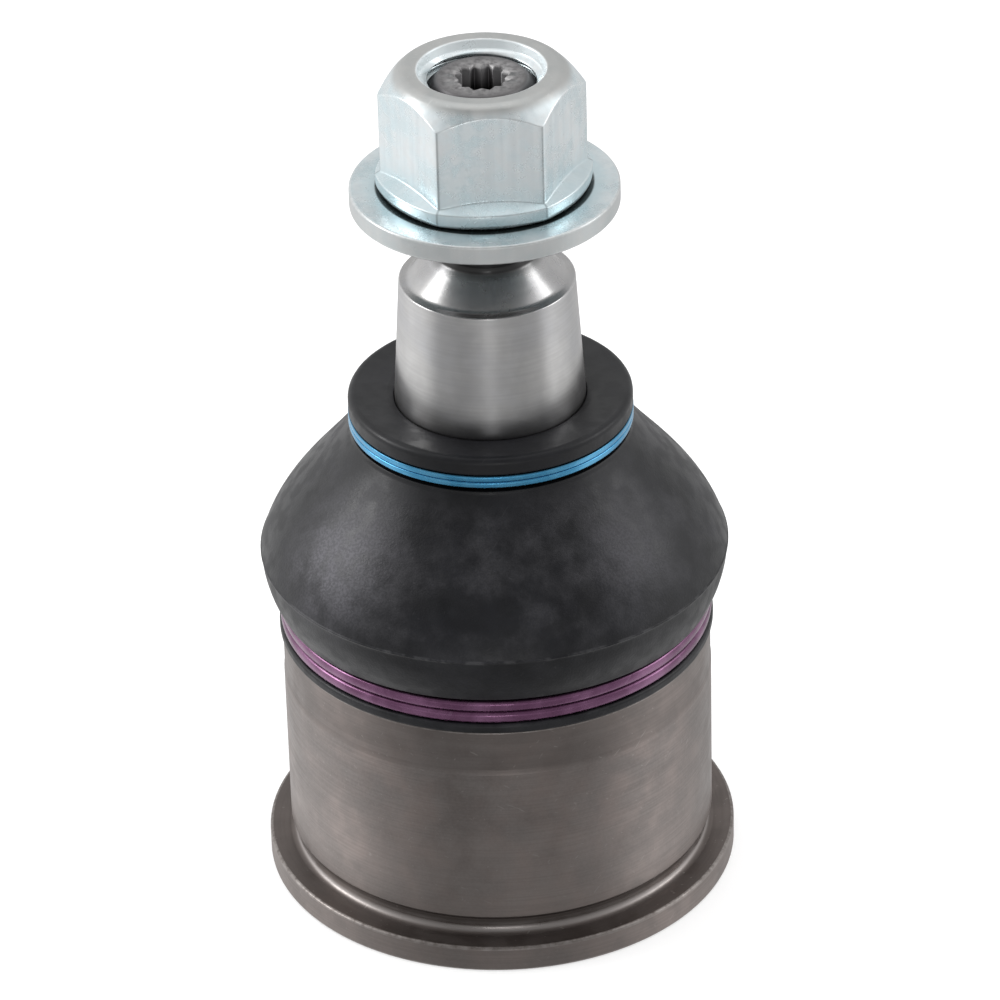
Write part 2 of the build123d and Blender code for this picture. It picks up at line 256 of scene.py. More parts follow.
def housing():
    """Turned body: flange, relief, ground land, pilot, boot groove and bore, edges broken."""
    mouth = SEAT_TOP + 0.1              # level of the narrow end of the coned mouth
    mouth_r, mouth_top_r = 15.1, 18.04
    bore = SEAT_R + 0.05
    roll = COVER_R + 0.05               # recess for the cover
    lip = roll - 2.6                    # edge that is rolled under it
    pilot = PRESS_R - 0.1
    rim = GROOVE_R + 0.9                # rim over the boot's groove
    corners = [
        (lip, 0.0, 0.15), (FLANGE_R, 0.0, 0.35), (FLANGE_R, FLANGE_TOP, 0.35),
        (RELIEF_R, FLANGE_TOP, 0.9), (RELIEF_R, RELIEF_TOP - 0.7, 0.1), (PRESS_R, RELIEF_TOP, 0.25),
        (PRESS_R, PILOT_LOW - 0.3, 0.1), (pilot, PILOT_LOW + 0.4, 0.1), (pilot, GROOVE_LOW, 0.25),
        (GROOVE_R, GROOVE_LOW, 0.2), (GROOVE_R, GROOVE_TOP, 0.2),
        (rim, GROOVE_TOP, 0.2), (rim, HOUSING_TOP, 0.35),
        (mouth_top_r, HOUSING_TOP, 0.3), (mouth_r, mouth, 0.2), (bore, mouth, 0.1), (bore, COVER_TOP, 0.1),
        (roll, COVER_TOP, 0.1), (roll, 0.9, 0.1), (lip, 0.35, 0.15)]
    obj = turned("housing_body", *softened(corners))
    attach(obj, "housing")
    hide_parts("housing")
    return obj


def boot_outline():
    """Boot section: foot, waist, flank, parting line, crown, neck, lip and seal, then the inside."""
    waist, shelf = (24.55, 37.15), (26.3, 37.15)
    flank_knots = [shelf, (27.15, 39.11), (27.70, 41.18), (27.93, 43.15)]
    ridge = np.array([(27.95, PARTING_Z - 0.1), (28.01, PARTING_Z - 0.04),
                      (28.01, PARTING_Z + 0.06), (27.91, PARTING_Z + 0.12)])
    crown_knots = [(27.86, 43.6), (27.41, 44.86), (26.71, 46.35), (25.88, 47.77), (24.96, 49.14),
                   (23.96, 50.45), (22.91, 51.72), (21.83, 52.96), (20.74, 54.2), (19.67, 55.45),
                   (18.62, 56.72), (17.62, 58.03), (16.7, 59.4)]
    inside_knots = [(16.99, 56.05), (18.71, 53.95), (20.5, 51.9), (22.27, 49.84), (23.91, 47.67),
                    (25.31, 45.35), (26.32, 42.83), (25.4, 40.6), (24.35, 38.85)]

    foot_r, grip_r = 26.15, GROOVE_R + 0.05
    foot_top, grip_top = BOOT_LOW + 1.25, GROOVE_TOP - 0.05
    foot, _ = softened([
        (24.35, grip_top, 0.1), (grip_r, grip_top, 0.1), (grip_r, BOOT_LOW, 0.15),
        (foot_r, BOOT_LOW, 0.35), (foot_r, foot_top, 0.4), (waist[0], foot_top, 0.1),
        (*waist, 0.1), (*shelf, 0.2), (*flank_knots[1], 0.0)])

    neck_r, seat_r, lip_r, seal_r = 16.7, 15.88, 16.83, LAND_R + 0.05
    lip_low, seat_low = UPPER_RING_TOP + 0.08, UPPER_RING_LOW - 0.55
    neck, _ = softened([
        (*crown_knots[-2], 0.0), (*crown_knots[-1], 0.0), (neck_r, seat_low, 0.12), (seat_r, seat_low, 0.1),
        (seat_r, lip_low, 0.1), (lip_r, lip_low, 0.25), (lip_r, BOOT_TOP, 0.75),
        (LAND_R + 0.9, BOOT_TOP - 0.55, 0.5), (seal_r, BOOT_TOP - 0.75, 0.2),
        (seal_r, BOOT_TOP - 6.6, 0.2), (*inside_knots[0], 0.0)])

    flank = smooth_curve(flank_knots, 8)
    crown = smooth_curve(crown_knots, 4)
    inside = smooth_curve(inside_knots, 4)
    foot = foot[CORNER_ROWS - 1:-CORNER_ROWS]
    neck = neck[2 * CORNER_ROWS - 2:1 - CORNER_ROWS]
    return np.concatenate([foot, flank[1:], ridge, crown[:-1], neck, inside])


def boot():
    """Rubber boot, one closed surface of revolution."""
    obj = turned("rubber_boot", boot_outline(), turns=320)
    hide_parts("boot")
    return obj


def wire_ring(name, node, body, width, height, gap, power):
    """Two turns of wire: a rounded box section swept along (r cos a, r sin a, z(a)).

    z(a) climbs from the first turn to the second by half a cosine over the step. The section is
    (sign(cos u) |cos u|^power width / 2, sign(sin u) |sin u|^power height / 2).
    """
    start, step = 95.0, 10.0            # degrees: where the wire begins, and its climb
    outer, low, _ = span(node)
    middle = outer - width / 2
    turn_rows, climb_rows, section_rows = 360, 14, 32
    a = np.concatenate([
        np.linspace(start, start + 360 - step, turn_rows),
        np.linspace(start + 360 - step, start + 360, climb_rows)[1:],
        np.linspace(start + 360, start + 720 - step, turn_rows)[1:]])
    share = np.clip((a - start - 360 + step) / step, 0, 1)
    z = low + height / 2 + (height + gap) * (1 - np.cos(math.pi * share)) / 2
    u = np.linspace(0, 2 * math.pi, section_rows, endpoint=False)
    across = np.sign(np.cos(u)) * np.abs(np.cos(u)) ** power * width / 2
    upward = np.sign(np.sin(u)) * np.abs(np.sin(u)) ** power * height / 2
    angle = np.radians(a)
    r = middle + across[:, None]
    grid = np.stack([r * np.cos(angle), r * np.sin(angle), z + upward[:, None]], -1)
    # painted shade: the edge value goes below 0 at the top and bottom of the two turns, where the ring meets
    # the boot
    reach = height + gap / 2
    from_middle = np.abs(grid[..., 2] - low - reach)
    borders = -np.clip((from_middle - reach) / 0.16 + 1, 0, 1)
    obj = grid_object(name, grid, borders, loop=False)
    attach(obj, body)
    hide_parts(node)
    return obj


def socket_radius(theta, side):
    """Outline of the drive: the largest of three squares, turned by 0, 30 and 60 degrees."""
    best = np.zeros_like(theta)
    for turn in (0, math.pi / 6, math.pi / 3):
        local = np.mod(theta - turn + math.pi / 4, math.pi / 2) - math.pi / 4
        best = np.maximum(best, side / 2 / np.cos(local))
    return best


def stud_profile():
    """Half section below the thread, (radius, height) rows and their wear.

    The ball's arc meets the neck's fillet where the line between their centres crosses both.
    """
    flat, fillet_r = 4.0, 2.5           # flat under the ball, fillet over it
    fillet_x = NECK_R + fillet_r
    apart = 17.5                        # from the ball's centre to the fillet's
    low = BALL_Z - math.sqrt(BALL_R**2 - flat**2)
    a = np.linspace(math.asin(flat / BALL_R), math.pi - math.asin(fillet_x / apart), 48)
    ball = np.stack([BALL_R * np.sin(a), BALL_Z - BALL_R * np.cos(a)], -1)
    centre = np.array([fillet_x, BALL_Z + math.sqrt(apart**2 - fillet_x**2)])
    b = np.linspace(math.atan2(ball[-1, 1] - centre[1], ball[-1, 0] - centre[0]), -math.pi, 10)
    fillet = centre + fillet_r * np.stack([np.cos(b), np.sin(b)], -1)
    shoulder = CONE_TOP + 0.15
    upper, worn = softened([
        (NECK_R, 40.0, 0.0), (NECK_R, LAND_LOW - 3.5, 1.5), (LAND_R, LAND_LOW, 0.6), (LAND_R, CONE_LOW, 2.0),
        (CONE_TOP_R, CONE_TOP, 0.2), (SHOULDER_R, shoulder, 1.0),
        (UNDERCUT_R, shoulder + SHOULDER_R - UNDERCUT_R, 0.9), (UNDERCUT_R, THREAD_LOW - 0.7, 0.1),
        (UNDERCUT_R + 0.3, THREAD_LOW - 0.1, 0.0)])
    inner = slice(CORNER_ROWS - 1, 1 - CORNER_ROWS)
    rows = np.concatenate([[(0.6, low), (flat - 0.4, low)], ball, fillet[1:], upper[inner]])
    smooth = len(rows) - len(worn[inner])
    return rows, np.concatenate([np.zeros(smooth), worn[inner]])


def stud():
    """Ball, neck, seal land, cone, undercut, threaded shank and drive, one grid R(t, s), Z(t, s).

    The thread's radius is the minor radius plus a rounded triangle of the phase z / pitch - t / (2 pi).
    """
    turns = 288
    t = np.linspace(0, 2 * math.pi, turns, endpoint=False) + math.pi / 2
    column = np.ones((turns, 1))
    body, body_wear = stud_profile()

    thread_rows = 15 * 14 + 1           # fifteen to each of the fourteen turns of thread
    thread_z = np.linspace(THREAD_LOW, STUD_TOP, thread_rows) * column
    wave = thread_wave(thread_z, t)
    wave = wave * wave * (3 - 2 * wave) * 0.5 + wave * 0.5
    thread_r = MINOR_R + (MAJOR_R - MINOR_R) * wave
    start = np.clip((thread_z - THREAD_LOW) / 2.0, 0, 1)
    thread_r = thread_r * start + (1 - start) * np.minimum(thread_r, UNDERCUT_R + 0.3)
    thread_r = np.minimum(thread_r, END_R + (STUD_TOP - thread_z))

    star = socket_radius(t, SOCKET_R * math.sqrt(2))[:, None]
    top_r = np.concatenate([(END_R - 0.3) * column, star + 0.32, star, star, star * 0.55, 0.15 * column], 1)
    top_z = STUD_TOP - np.array([0.0, 0.0, 0.3, SOCKET_DEPTH, SOCKET_DEPTH + 0.6, SOCKET_DEPTH + 1.1])
    # edge wear: a little on the end's edge, full on the socket's mouth, where it is partly wear and partly
    # painted glint
    top_wear = [0.3, 1, 1, 0, 0, 0]

    radius = np.concatenate([body[:, 0] * column, thread_r, top_r], 1)
    level = np.concatenate([body[:, 1] * column, thread_z, top_z * column], 1)
    edge = np.concatenate([body_wear, np.zeros(thread_rows), top_wear])
    obj = grid_object("stud_body", around(t, radius, level), edge, loop=False)
    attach(obj, "stud")
    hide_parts("ball_stud")
    return obj


def hex_angles():
    """Angles that crowd towards the six corners: 30 sin(pi u / 2) degrees either side of a flat's middle."""
    per_flat = 44
    u = np.linspace(-1, 1, per_flat, endpoint=False)
    local = np.radians(30) * np.sin(math.pi * u / 2)
    return np.concatenate([local + k * math.pi / 3 for k in range(6)])


def hexagon(theta, flats):
    """Radius of a hexagon with rounded corners: 1 / R is a soft maximum of cos(t - t_i) / flats."""
    sharpness = 700.0
    sides = np.arange(6) * math.pi / 3
    reach = np.cos(theta[:, None] - sides) / flats
    top = reach.max(1)
    return 1 / (top + np.log(np.exp(sharpness * (reach - top[:, None])).sum(1)) / sharpness)


def local_sector(angle):
    """Angle from the middle of the nearest flat of the hexagon, in radians."""
    return angle - np.round(angle / (math.pi / 3)) * math.pi / 3


def nut():
    """Hexagon nut, one outline for every column round it.

    Each outline has the hexagon's radius H(t), the crown's chamfer, the coned collar, whose rim dips by
    0.35 (1 - (t / 30 degrees)^2) towards the middle of a flat, the countersink, the threaded bore and
    the flared spigot, with every corner rounded.
    """
    local = hex_angles()
    n = len(local)
    flats = hexagon(local, FLATS_R)
    crown_r = 9.4                       # flat top face inside the chamfer
    bore_r = MAJOR_R + 0.12
    collar_top = NUT_BOTTOM + 1.95
    slope = math.tan(math.radians(30))
    skirt = COLLAR_R - 0.35 * (1 - (local_sector(local) / math.radians(30)) ** 2)

    def row(radius, level, fillet):
        return np.stack([np.zeros(n) + value for value in (radius, level, fillet)], -1)

    steps = 4
    corners = np.stack([
        row(bore_r, NUT_TOP - 0.95, 0.1), row(SINK_R, NUT_TOP, 0.25), row(crown_r, NUT_TOP, 1.5),
        row(flats, NUT_TOP - (flats - crown_r), 0.35), row(flats, collar_top + slope * (skirt - flats), 0.3),
        row(skirt, collar_top, 0.25), row(skirt, NUT_BOTTOM, 0.85), row(SPIGOT_R, NUT_BOTTOM, 0.2),
        row(SPIGOT_R, NUT_LOW + 0.6, 0.3), row(SPIGOT_R + 0.6, NUT_LOW, 0.05),
        row(SPIGOT_R + 0.35, NUT_LOW, 0.05), row(bore_r, NUT_LOW + 1.6, 0.1)], 1)
    outline, worn = softened(corners, steps)
    crown_rows = slice(2 * (steps + 3), 3 * (steps + 3))
    worn[:, crown_rows] = 0

    t = local + NUT_TURN - math.pi / 2
    thread_low = NUT_LOW + 2.6
    threaded = np.linspace(thread_low, NUT_TOP - 1.1, 10 * 12)
    bore_z = np.r_[thread_low - 0.1, threaded] + np.zeros((n, 1))
    wave = thread_wave(bore_z, t, 0.5) * (bore_z > thread_low - 0.05)
    bore = MAJOR_R + 0.08 - 0.8 * wave

    radius = np.concatenate([outline[..., 0], bore], 1)
    level = np.concatenate([outline[..., 1], bore_z], 1)
    edge = np.concatenate([worn, np.zeros_like(bore)], 1)
    # the corners of the flats get a negative edge value, for a painted dark reflection there
    corner = np.exp(-((np.abs(local_sector(local)) - math.pi / 6) / 0.016) ** 2)
    side = (radius > flats[:, None] - 0.02) * (level < NUT_TOP - 2.4) * corner[:, None]
    edge = np.where(side > 0.05, -side, edge)
    obj = grid_object("nut_body", around(t, radius, level), edge)
    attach(obj, "nut")
    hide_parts("hex_nut")
    return obj


def washer():
    """Flat washer with a rounded rim and a recess under it for the nut's flared spigot."""
    bore, flare = SPIGOT_R + 0.35, SPIGOT_R + 0.95
    corners = [
        (flare, WASHER_LOW, 0.15), (WASHER_R, WASHER_LOW, 0.3), (WASHER_R, WASHER_TOP, 0.3),
        (bore, WASHER_TOP, 0.15), (bore, WASHER_TOP - 0.65, 0.1), (flare, WASHER_TOP - 1.25, 0.1)]
    obj = turned("washer_body", *softened(corners))
    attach(obj, "washer")
    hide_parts("captive_washer")
    return obj


# ---------------------------------------------------------------------------
# Node groups
# ---------------------------------------------------------------------------

class Bench:
    """Lays nodes in one shader tree. A value is a number, a colour or another node's output."""

    def __init__(self, tree):
        self.tree = tree

    def feed(self, socket, value):
        if isinstance(value, bpy.types.NodeSocket):
            self.tree.links.new(value, socket)
        elif value is not None:
            if socket.type == "RGBA" and len(value) == 3:
                value = (*value, 1)
            socket.default_value = value

    def put(self, kind, values=(), out=0, **settings):
        """New node of a kind, with its inputs fed by their number; returns one output."""
        node = self.tree.nodes.new("ShaderNode" + kind)
        for key, value in settings.items():
            setattr(node, key, value)
        for index, value in dict(values).items():
            self.feed(node.inputs[index], value)
        return node.outputs[out]

    def math(self, operation, a, b=None):
        return self.put("Math", {0: a, 1: b}, operation=operation)

    def add(self, a, b):
        return self.math("ADD", a, b)

    def times(self, a, b):
        return self.math("MULTIPLY", a, b)

    def over(self, a, b):
        return self.math("DIVIDE", a, b)

    def larger(self, a, b):
        return self.math("MAXIMUM", a, b)

    def step(self, value, low, high, start=0.0, end=1.0):
        """Smooth step from start to end as value goes from low to high."""
        return self.put("MapRange", {0: value, 1: low, 2: high, 3: start, 4: end},
                        interpolation_type="SMOOTHSTEP")

    def band(self, value, rise, fall):
        """0 before the pair of levels in rise, 1 from there to the pair in fall, and 0 after it."""
        return self.times(self.step(value, *rise), self.step(value, *fall, 1.0, 0.0))

    def mix(self, share, a, b):
        return self.put("Mix", {0: share, 6: a, 7: b}, out=2, data_type="RGBA", blend_type="MIX")

    def noise(self, place, scale=1.0, detail=2.0, rough=0.5):
        return self.put("TexNoise", {"Vector": place, "Scale": scale, "Detail": detail, "Roughness": rough})

    def millimetres(self):
        """Object coordinates in millimetres."""
        return self.put("VectorMath", {0: self.put("TexCoord", out=3), 3: 1 / MM}, operation="SCALE")

    def split(self, vector):
        node = self.tree.nodes.new("ShaderNodeSeparateXYZ")
        self.feed(node.inputs[0], vector)
        return node.outputs

    def radius_squared(self, x, y):
        return self.add(self.times(x, x), self.times(y, y))

    def stretch(self, place, x, y, z):
        return self.put("VectorMath", {0: place, 1: (x, y, z)}, operation="MULTIPLY")

    def turn(self, place, angles):
        return self.put("Mapping", {0: place, 2: [math.radians(a) for a in angles]}, vector_type="POINT")

    def edge(self):
        """The piece's own edge value: rubbed corners above 0; below 0 it marks painted dark lines, painted
        shade on the wire rings' borders and painted dark reflections on the nut's corners.
        """
        return self.put("Attribute", out=2, attribute_name="edge")


def node_group(name, inputs, outputs):
    """Empty shader group with float sockets; returns its tree, bench, ins and outs."""
    tree = bpy.data.node_groups.new(name, "ShaderNodeTree")
    for label, value in inputs.items():
        socket = tree.interface.new_socket(label, in_out="INPUT", socket_type="NodeSocketFloat")
        socket.default_value = value
    for label in outputs:
        tree.interface.new_socket(label, in_out="OUTPUT", socket_type="NodeSocketFloat")
    ins = tree.nodes.new("NodeGroupInput").outputs
    outs = tree.nodes.new("NodeGroupOutput").inputs
    return tree, Bench(tree), ins, outs


def turning_marks_group():
    """Fine lines left by a lathe or a grinding wheel, and broader bands of the same.

    Noise is read at (x / reach, y / reach, (z + 0.7 r) / pitch), so it hardly changes on the way
    round and changes quickly along the profile, on cylinders, cones and flat faces alike.
    """
    tree, bench, ins, outs = node_group(
        "turning_marks", {"Pitch": 0.3, "Reach": 14.0}, ["Lines", "Bands"])
    x, y, z = bench.split(bench.millimetres())
    radius = bench.math("SQRT", bench.radius_squared(x, y))
    along = bench.add(z, bench.times(radius, 0.7))
    across = bench.put("CombineXYZ", {0: bench.over(x, ins["Reach"]), 1: bench.over(y, ins["Reach"]),
                                      2: bench.over(along, ins["Pitch"])})
    bench.feed(outs["Lines"], bench.noise(across, 1.0, 1.0, 0.5))
    bench.feed(outs["Bands"], bench.noise(bench.stretch(across, 0.6, 0.6, 0.12), 1.0, 2.0, 0.5))
    return tree


def mottle_group():
    """Broad patches, clouds a third of their size and small specks, from three layers of noise."""
    tree, bench, ins, outs = node_group(
        "mottle", {"Size": 8.0, "Speck Size": 0.5}, ["Patches", "Clouds", "Specks"])
    place = bench.millimetres()
    patch = bench.noise(place, bench.over(1.0, ins["Size"]), 3.0, 0.55)
    cloud = bench.noise(bench.turn(place, (35, 20, 60)), bench.over(3.1, ins["Size"]), 2.0, 0.5)
    speck = bench.noise(place, bench.over(1.0, ins["Speck Size"]), 2.0, 0.5)
    bench.feed(outs["Patches"], bench.step(patch, 0.35, 0.65))
    bench.feed(outs["Clouds"], bench.step(cloud, 0.3, 0.7))
    bench.feed(outs["Specks"], bench.step(speck, 0.35, 0.65))
    return tree


def edge_wear_group():
    """Bright rubbed edges: the piece's own edge value, broken up by noise."""
    tree, bench, ins, outs = node_group("edge_wear", {"Amount": 0.6, "Grain": 1.2}, ["Wear"])
    grain = bench.noise(bench.millimetres(), ins["Grain"], 4.0, 0.65)
    worn = bench.times(bench.edge(), bench.step(grain, 0.25, 0.7))
    bench.feed(outs["Wear"], bench.times(worn, ins["Amount"]))
    return tree


def scratches_group():
    """Sparse thin scratches, peaks of noise drawn out along two crossing directions, and nicks."""
    tree, bench, ins, outs = node_group("scratches", {"Density": 0.5, "Length": 4.0}, ["Scratch", "Nick"])
    place = bench.millimetres()
    fine = []
    for angles in ((0, 62, 20), (40, -35, 75)):
        local = bench.turn(place, angles)
        drawn_out = bench.put("CombineXYZ", {2: bench.over(bench.split(local)[2], ins["Length"])})
        flat = bench.stretch(local, 2.6, 2.6, 0.0)
        spot = bench.put("VectorMath", {0: flat, 1: drawn_out}, operation="ADD")
        fine.append(bench.noise(spot, 1.0, 1.0, 0.4))
    limit = bench.add(bench.times(ins["Density"], -0.12), 0.78)
    bench.feed(outs["Scratch"], bench.step(bench.larger(*fine), limit, bench.add(limit, 0.05)))
    spots = bench.noise(bench.stretch(place, 0.9, 0.9, 0.9), 1.0, 3.0, 0.7)
    bench.feed(outs["Nick"], bench.step(spots, bench.add(limit, -0.04), bench.add(limit, 0.02)))
    return tree


def dust_group():
    """Dust that lies where the surface looks up and in clouded patches."""
    tree, bench, ins, outs = node_group("dust", {"Amount": 0.5, "Patch": 7.0}, ["Dust"])
    place = bench.millimetres()
    up = bench.split(bench.put("TexCoord", out=1))[2]
    lie = bench.step(up, -0.3, 0.9, 0.25, 1.0)
    patch = bench.noise(place, bench.over(1.0, ins["Patch"]), 5.0, 0.62)
    fine = bench.noise(place, 5.0, 2.0, 0.6)
    cover = bench.times(bench.step(patch, 0.42, 0.72), bench.step(fine, 0.2, 0.7, 0.45, 1.0))
    bench.feed(outs["Dust"], bench.times(bench.times(cover, lie), ins["Amount"]))
    return tree


GROUPS = {make.__name__[:-len("_group")]: make() for make in (
    turning_marks_group, mottle_group, edge_wear_group, scratches_group, dust_group)}


# ---------------------------------------------------------------------------
# Materials
# ---------------------------------------------------------------------------

class Finish(Bench):
    """One material: its Principled shader stays here, and the groups feed it."""

    def __init__(self, name, metallic=0.0, roughness=0.5, **fixed):
        self.material = bpy.data.materials.new(name)
        self.material.use_nodes = True
        super().__init__(self.material.node_tree)
        self.shader = self.tree.nodes["Principled BSDF"]
        self.shader.inputs["Metallic"].default_value = metallic
        self.shader.inputs["Roughness"].default_value = roughness
        for label, value in fixed.items():
            self.shader.inputs[label.replace("_", " ")].default_value = value

    def turned_grain(self):
        """Grain that runs round the joint's axis, so that highlights stretch across it."""
        tangent = self.put("Tangent", direction_type="RADIAL", axis="Z")
        self.feed(self.shader.inputs["Tangent"], tangent)

    def group(self, name, **values):
        """One of the shared groups with this material's own values; returns its outputs."""
        node = self.tree.nodes.new("ShaderNodeGroup")
        node.node_tree = GROUPS[name]
        for label, value in values.items():
            node.inputs[label.replace("_", " ")].default_value = value
        return node.outputs

    def surface(self, colour, roughness, metallic=None, height=None, depth=0.0):
        """Feed the shader; height is a 0 to 1 relief that is depth millimetres deep."""
        for label, value in (("Base Color", colour), ("Roughness", roughness), ("Metallic", metallic)):
            if value is not None:
                self.feed(self.shader.inputs[label], value)
        if height is not None:
            bump = self.tree.nodes.new("ShaderNodeBump")
            bump.inputs["Strength"].default_value = 1.0
            bump.inputs["Distance"].default_value = depth * MM
            self.feed(bump.inputs["Height"], height)
            self.feed(self.shader.inputs["Normal"], bump.outputs[0])
        return self.material


def housing_steel():
    """Ground, lightly oiled steel: brown-grey clouds, grinding lines and a darker turned pilot; painted shade
    on the relief and the flange's top, a painted highlight on the relief's fillet, and painted light low on
    the land.
    """
    mat = Finish("housing_steel", metallic=1.0, Anisotropic=0.35, Anisotropic_Rotation=0.25)
    mat.turned_grain()
    lines, bands = mat.group("turning_marks", Pitch=0.22, Reach=11.0)[:2]
    patches, clouds, specks = mat.group("mottle", Size=9.0, Speck_Size=0.35)[:3]
    wear = mat.group("edge_wear", Amount=0.5)["Wear"]
    scratch, nick = mat.group("scratches", Density=0.35, Length=3.0)[:2]
    level = mat.split(mat.millimetres())[2]

    pilot = mat.times(mat.step(level, PILOT_LOW - 0.5, PILOT_LOW + 0.4), mat.step(bands, 0.2, 0.7, 0.45, 0.8))
    # painted light: the land is lightened towards its foot
    rubbed = mat.step(level, 7.0, 24.0, 0.2, 0.0)
    below_land = mat.step(level, RELIEF_TOP - 0.1, RELIEF_TOP + 0.1, 0.75, 0.0)
    # painted shade: the relief and the flange's top are darkened
    relief_painted_shade = mat.times(below_land, mat.step(level, FLANGE_TOP - 0.35, FLANGE_TOP - 0.05))
    # painted highlight on the relief's fillet
    fillet_painted_highlight = mat.band(level, (FLANGE_TOP + 0.08, FLANGE_TOP + 0.4), (FLANGE_TOP + 1.0, FLANGE_TOP + 1.6))
    rim_side = mat.step(level, FLANGE_TOP - 0.4, FLANGE_TOP - 0.1, 1.0, 0.0)

    colour = mat.mix(patches, (0.235, 0.207, 0.197), (0.335, 0.282, 0.264))
    colour = mat.mix(mat.times(clouds, 0.45), colour, (0.275, 0.258, 0.250))
    colour = mat.mix(mat.step(lines, 0.3, 0.7, 0.0, 0.22), colour, (0.18, 0.16, 0.15))
    colour = mat.mix(mat.times(specks, 0.12), colour, (0.40, 0.36, 0.34))
    colour = mat.mix(mat.times(pilot, 0.75), colour, (0.165, 0.145, 0.136))
    # painted light low on the land
    colour = mat.mix(rubbed, colour, (0.40, 0.355, 0.335))
    # painted shade on the relief and the flange's top
    colour = mat.mix(relief_painted_shade, colour, (0.108, 0.092, 0.085))
    # painted highlight on the relief's fillet
    colour = mat.mix(mat.times(fillet_painted_highlight, 0.75), colour, (0.48, 0.445, 0.43))
    colour = mat.mix(mat.larger(wear, mat.times(scratch, 0.25)), colour, (0.50, 0.47, 0.45))
    colour = mat.mix(mat.times(rim_side, 0.25), colour, (0.19, 0.17, 0.16))

    rough = mat.add(mat.step(clouds, 0, 1, 0.33, 0.43), mat.step(lines, 0.3, 0.7, 0.0, 0.06))
    rough = mat.add(rough, mat.add(mat.times(relief_painted_shade, 0.08), mat.times(fillet_painted_highlight, -0.14)))
    rough = mat.add(rough, mat.times(rim_side, 0.14))
    relief = mat.add(mat.times(lines, 0.8), mat.times(mat.larger(scratch, nick), -0.2))
    return mat.surface(colour, rough, height=relief, depth=0.006)


def stud_steel():
    """Bright ground steel with soft cloudy marks: a painted dark reflection of the boot at its foot, painted
    shade under the washer, at the thread's run-out, on the end's chamfer and in the drive, dark at its end,
    the ball polished.
    """
    mat = Finish("stud_steel", metallic=1.0, Anisotropic=0.65, Anisotropic_Rotation=0.25)
    mat.turned_grain()
    lines = mat.group("turning_marks", Pitch=0.3, Reach=9.0)["Lines"]
    patches, clouds = mat.group("mottle", Size=6.0)[:2]
    wear = mat.group("edge_wear", Amount=0.8)["Wear"]
    scratch = mat.group("scratches", Density=0.5, Length=2.5)["Scratch"]
    x, y, level = mat.split(mat.millimetres())
    square = mat.radius_squared(x, y)

    ball = mat.step(level, BALL_Z + 14.5, BALL_Z + 15.5, 1.0, 0.0)
    # painted dark reflection of the boot at the shaft's foot
    foot = mat.times(mat.step(level, LAND_FOOT, LAND_FOOT + 3.0, 1.0, 0.0), mat.step(patches, 0, 1, 0.7, 1.0))
    shoulder = mat.band(level, (CONE_TOP - 0.15, CONE_TOP), (CONE_TOP + 2.6, CONE_TOP + 3.2))
    # painted shade on the neck and undercut under the washer
    neck = mat.band(level, (CONE_TOP + 2.6, CONE_TOP + 3.3), (THREAD_LOW + 1.1, THREAD_LOW + 2.6))
    # painted shadow line at the thread's run-out
    run_out_painted_shadow = mat.band(level, (THREAD_LOW - 1.7, THREAD_LOW - 1.3), (THREAD_LOW - 0.1, THREAD_LOW + 0.3))
    end = mat.step(level, STUD_TOP - 18.0, STUD_TOP - 7.2)
    in_chamfer = mat.step(square, 28.0, 32.0)               # from 5.3 to 5.65 mm off the axis
    in_socket = mat.step(square, 11.5, 13.0, 1.0, 0.0)      # from 3.4 to 3.6 mm
    # painted shade on the end's chamfer and the thread's top
    chamfer_painted_shade = mat.times(mat.step(level, STUD_TOP - 3.0, STUD_TOP - 2.0), in_chamfer)
    socket = mat.times(mat.times(end, in_socket), mat.step(level, STUD_TOP - 0.5, STUD_TOP - 0.3, 1.0, 0.0))
    # painted shade in the drive, darker the deeper it goes
    socket_painted_shade = mat.mix(mat.step(level, STUD_TOP - 3.5, STUD_TOP - 1.2),
                          (0.02, 0.019, 0.02), (0.24, 0.235, 0.24))

    colour = mat.mix(patches, (0.50, 0.50, 0.51), (0.55, 0.545, 0.54))
    colour = mat.mix(mat.step(clouds, 0, 1, 0.0, 0.3), colour, (0.45, 0.445, 0.44))
    colour = mat.mix(mat.step(lines, 0.3, 0.7, 0.0, 0.25), colour, (0.38, 0.375, 0.38))
    colour = mat.mix(mat.times(end, 0.85), colour, (0.115, 0.110, 0.114))
    # painted shade on the neck and undercut under the washer
    colour = mat.mix(mat.times(neck, 0.55), colour, (0.13, 0.13, 0.13))
    colour = mat.mix(mat.larger(mat.times(wear, 0.7), mat.times(scratch, 0.06)), colour, (0.72, 0.71, 0.71))
    # painted dark reflection of the boot at the shaft's foot
    colour = mat.mix(foot, colour, (0.07, 0.068, 0.073))
    # painted shade in the drive
    colour = mat.mix(socket, colour, socket_painted_shade)
    # painted shade on the end's chamfer and the thread's top
    colour = mat.mix(mat.times(chamfer_painted_shade, 0.8), colour, (0.05, 0.047, 0.05))
    # painted shadow line at the thread's run-out
    colour = mat.mix(mat.times(run_out_painted_shadow, 0.85), colour, (0.02, 0.02, 0.02))

    rough = mat.add(mat.step(clouds, 0, 1, 0.275, 0.305), mat.times(end, 0.2))
    rough = mat.add(rough, mat.add(mat.times(ball, -0.12), mat.times(shoulder, -0.03)))
    relief = mat.times(lines, mat.add(0.35, mat.times(shoulder, 5.0)))
    return mat.surface(colour, rough, height=relief, depth=0.004)


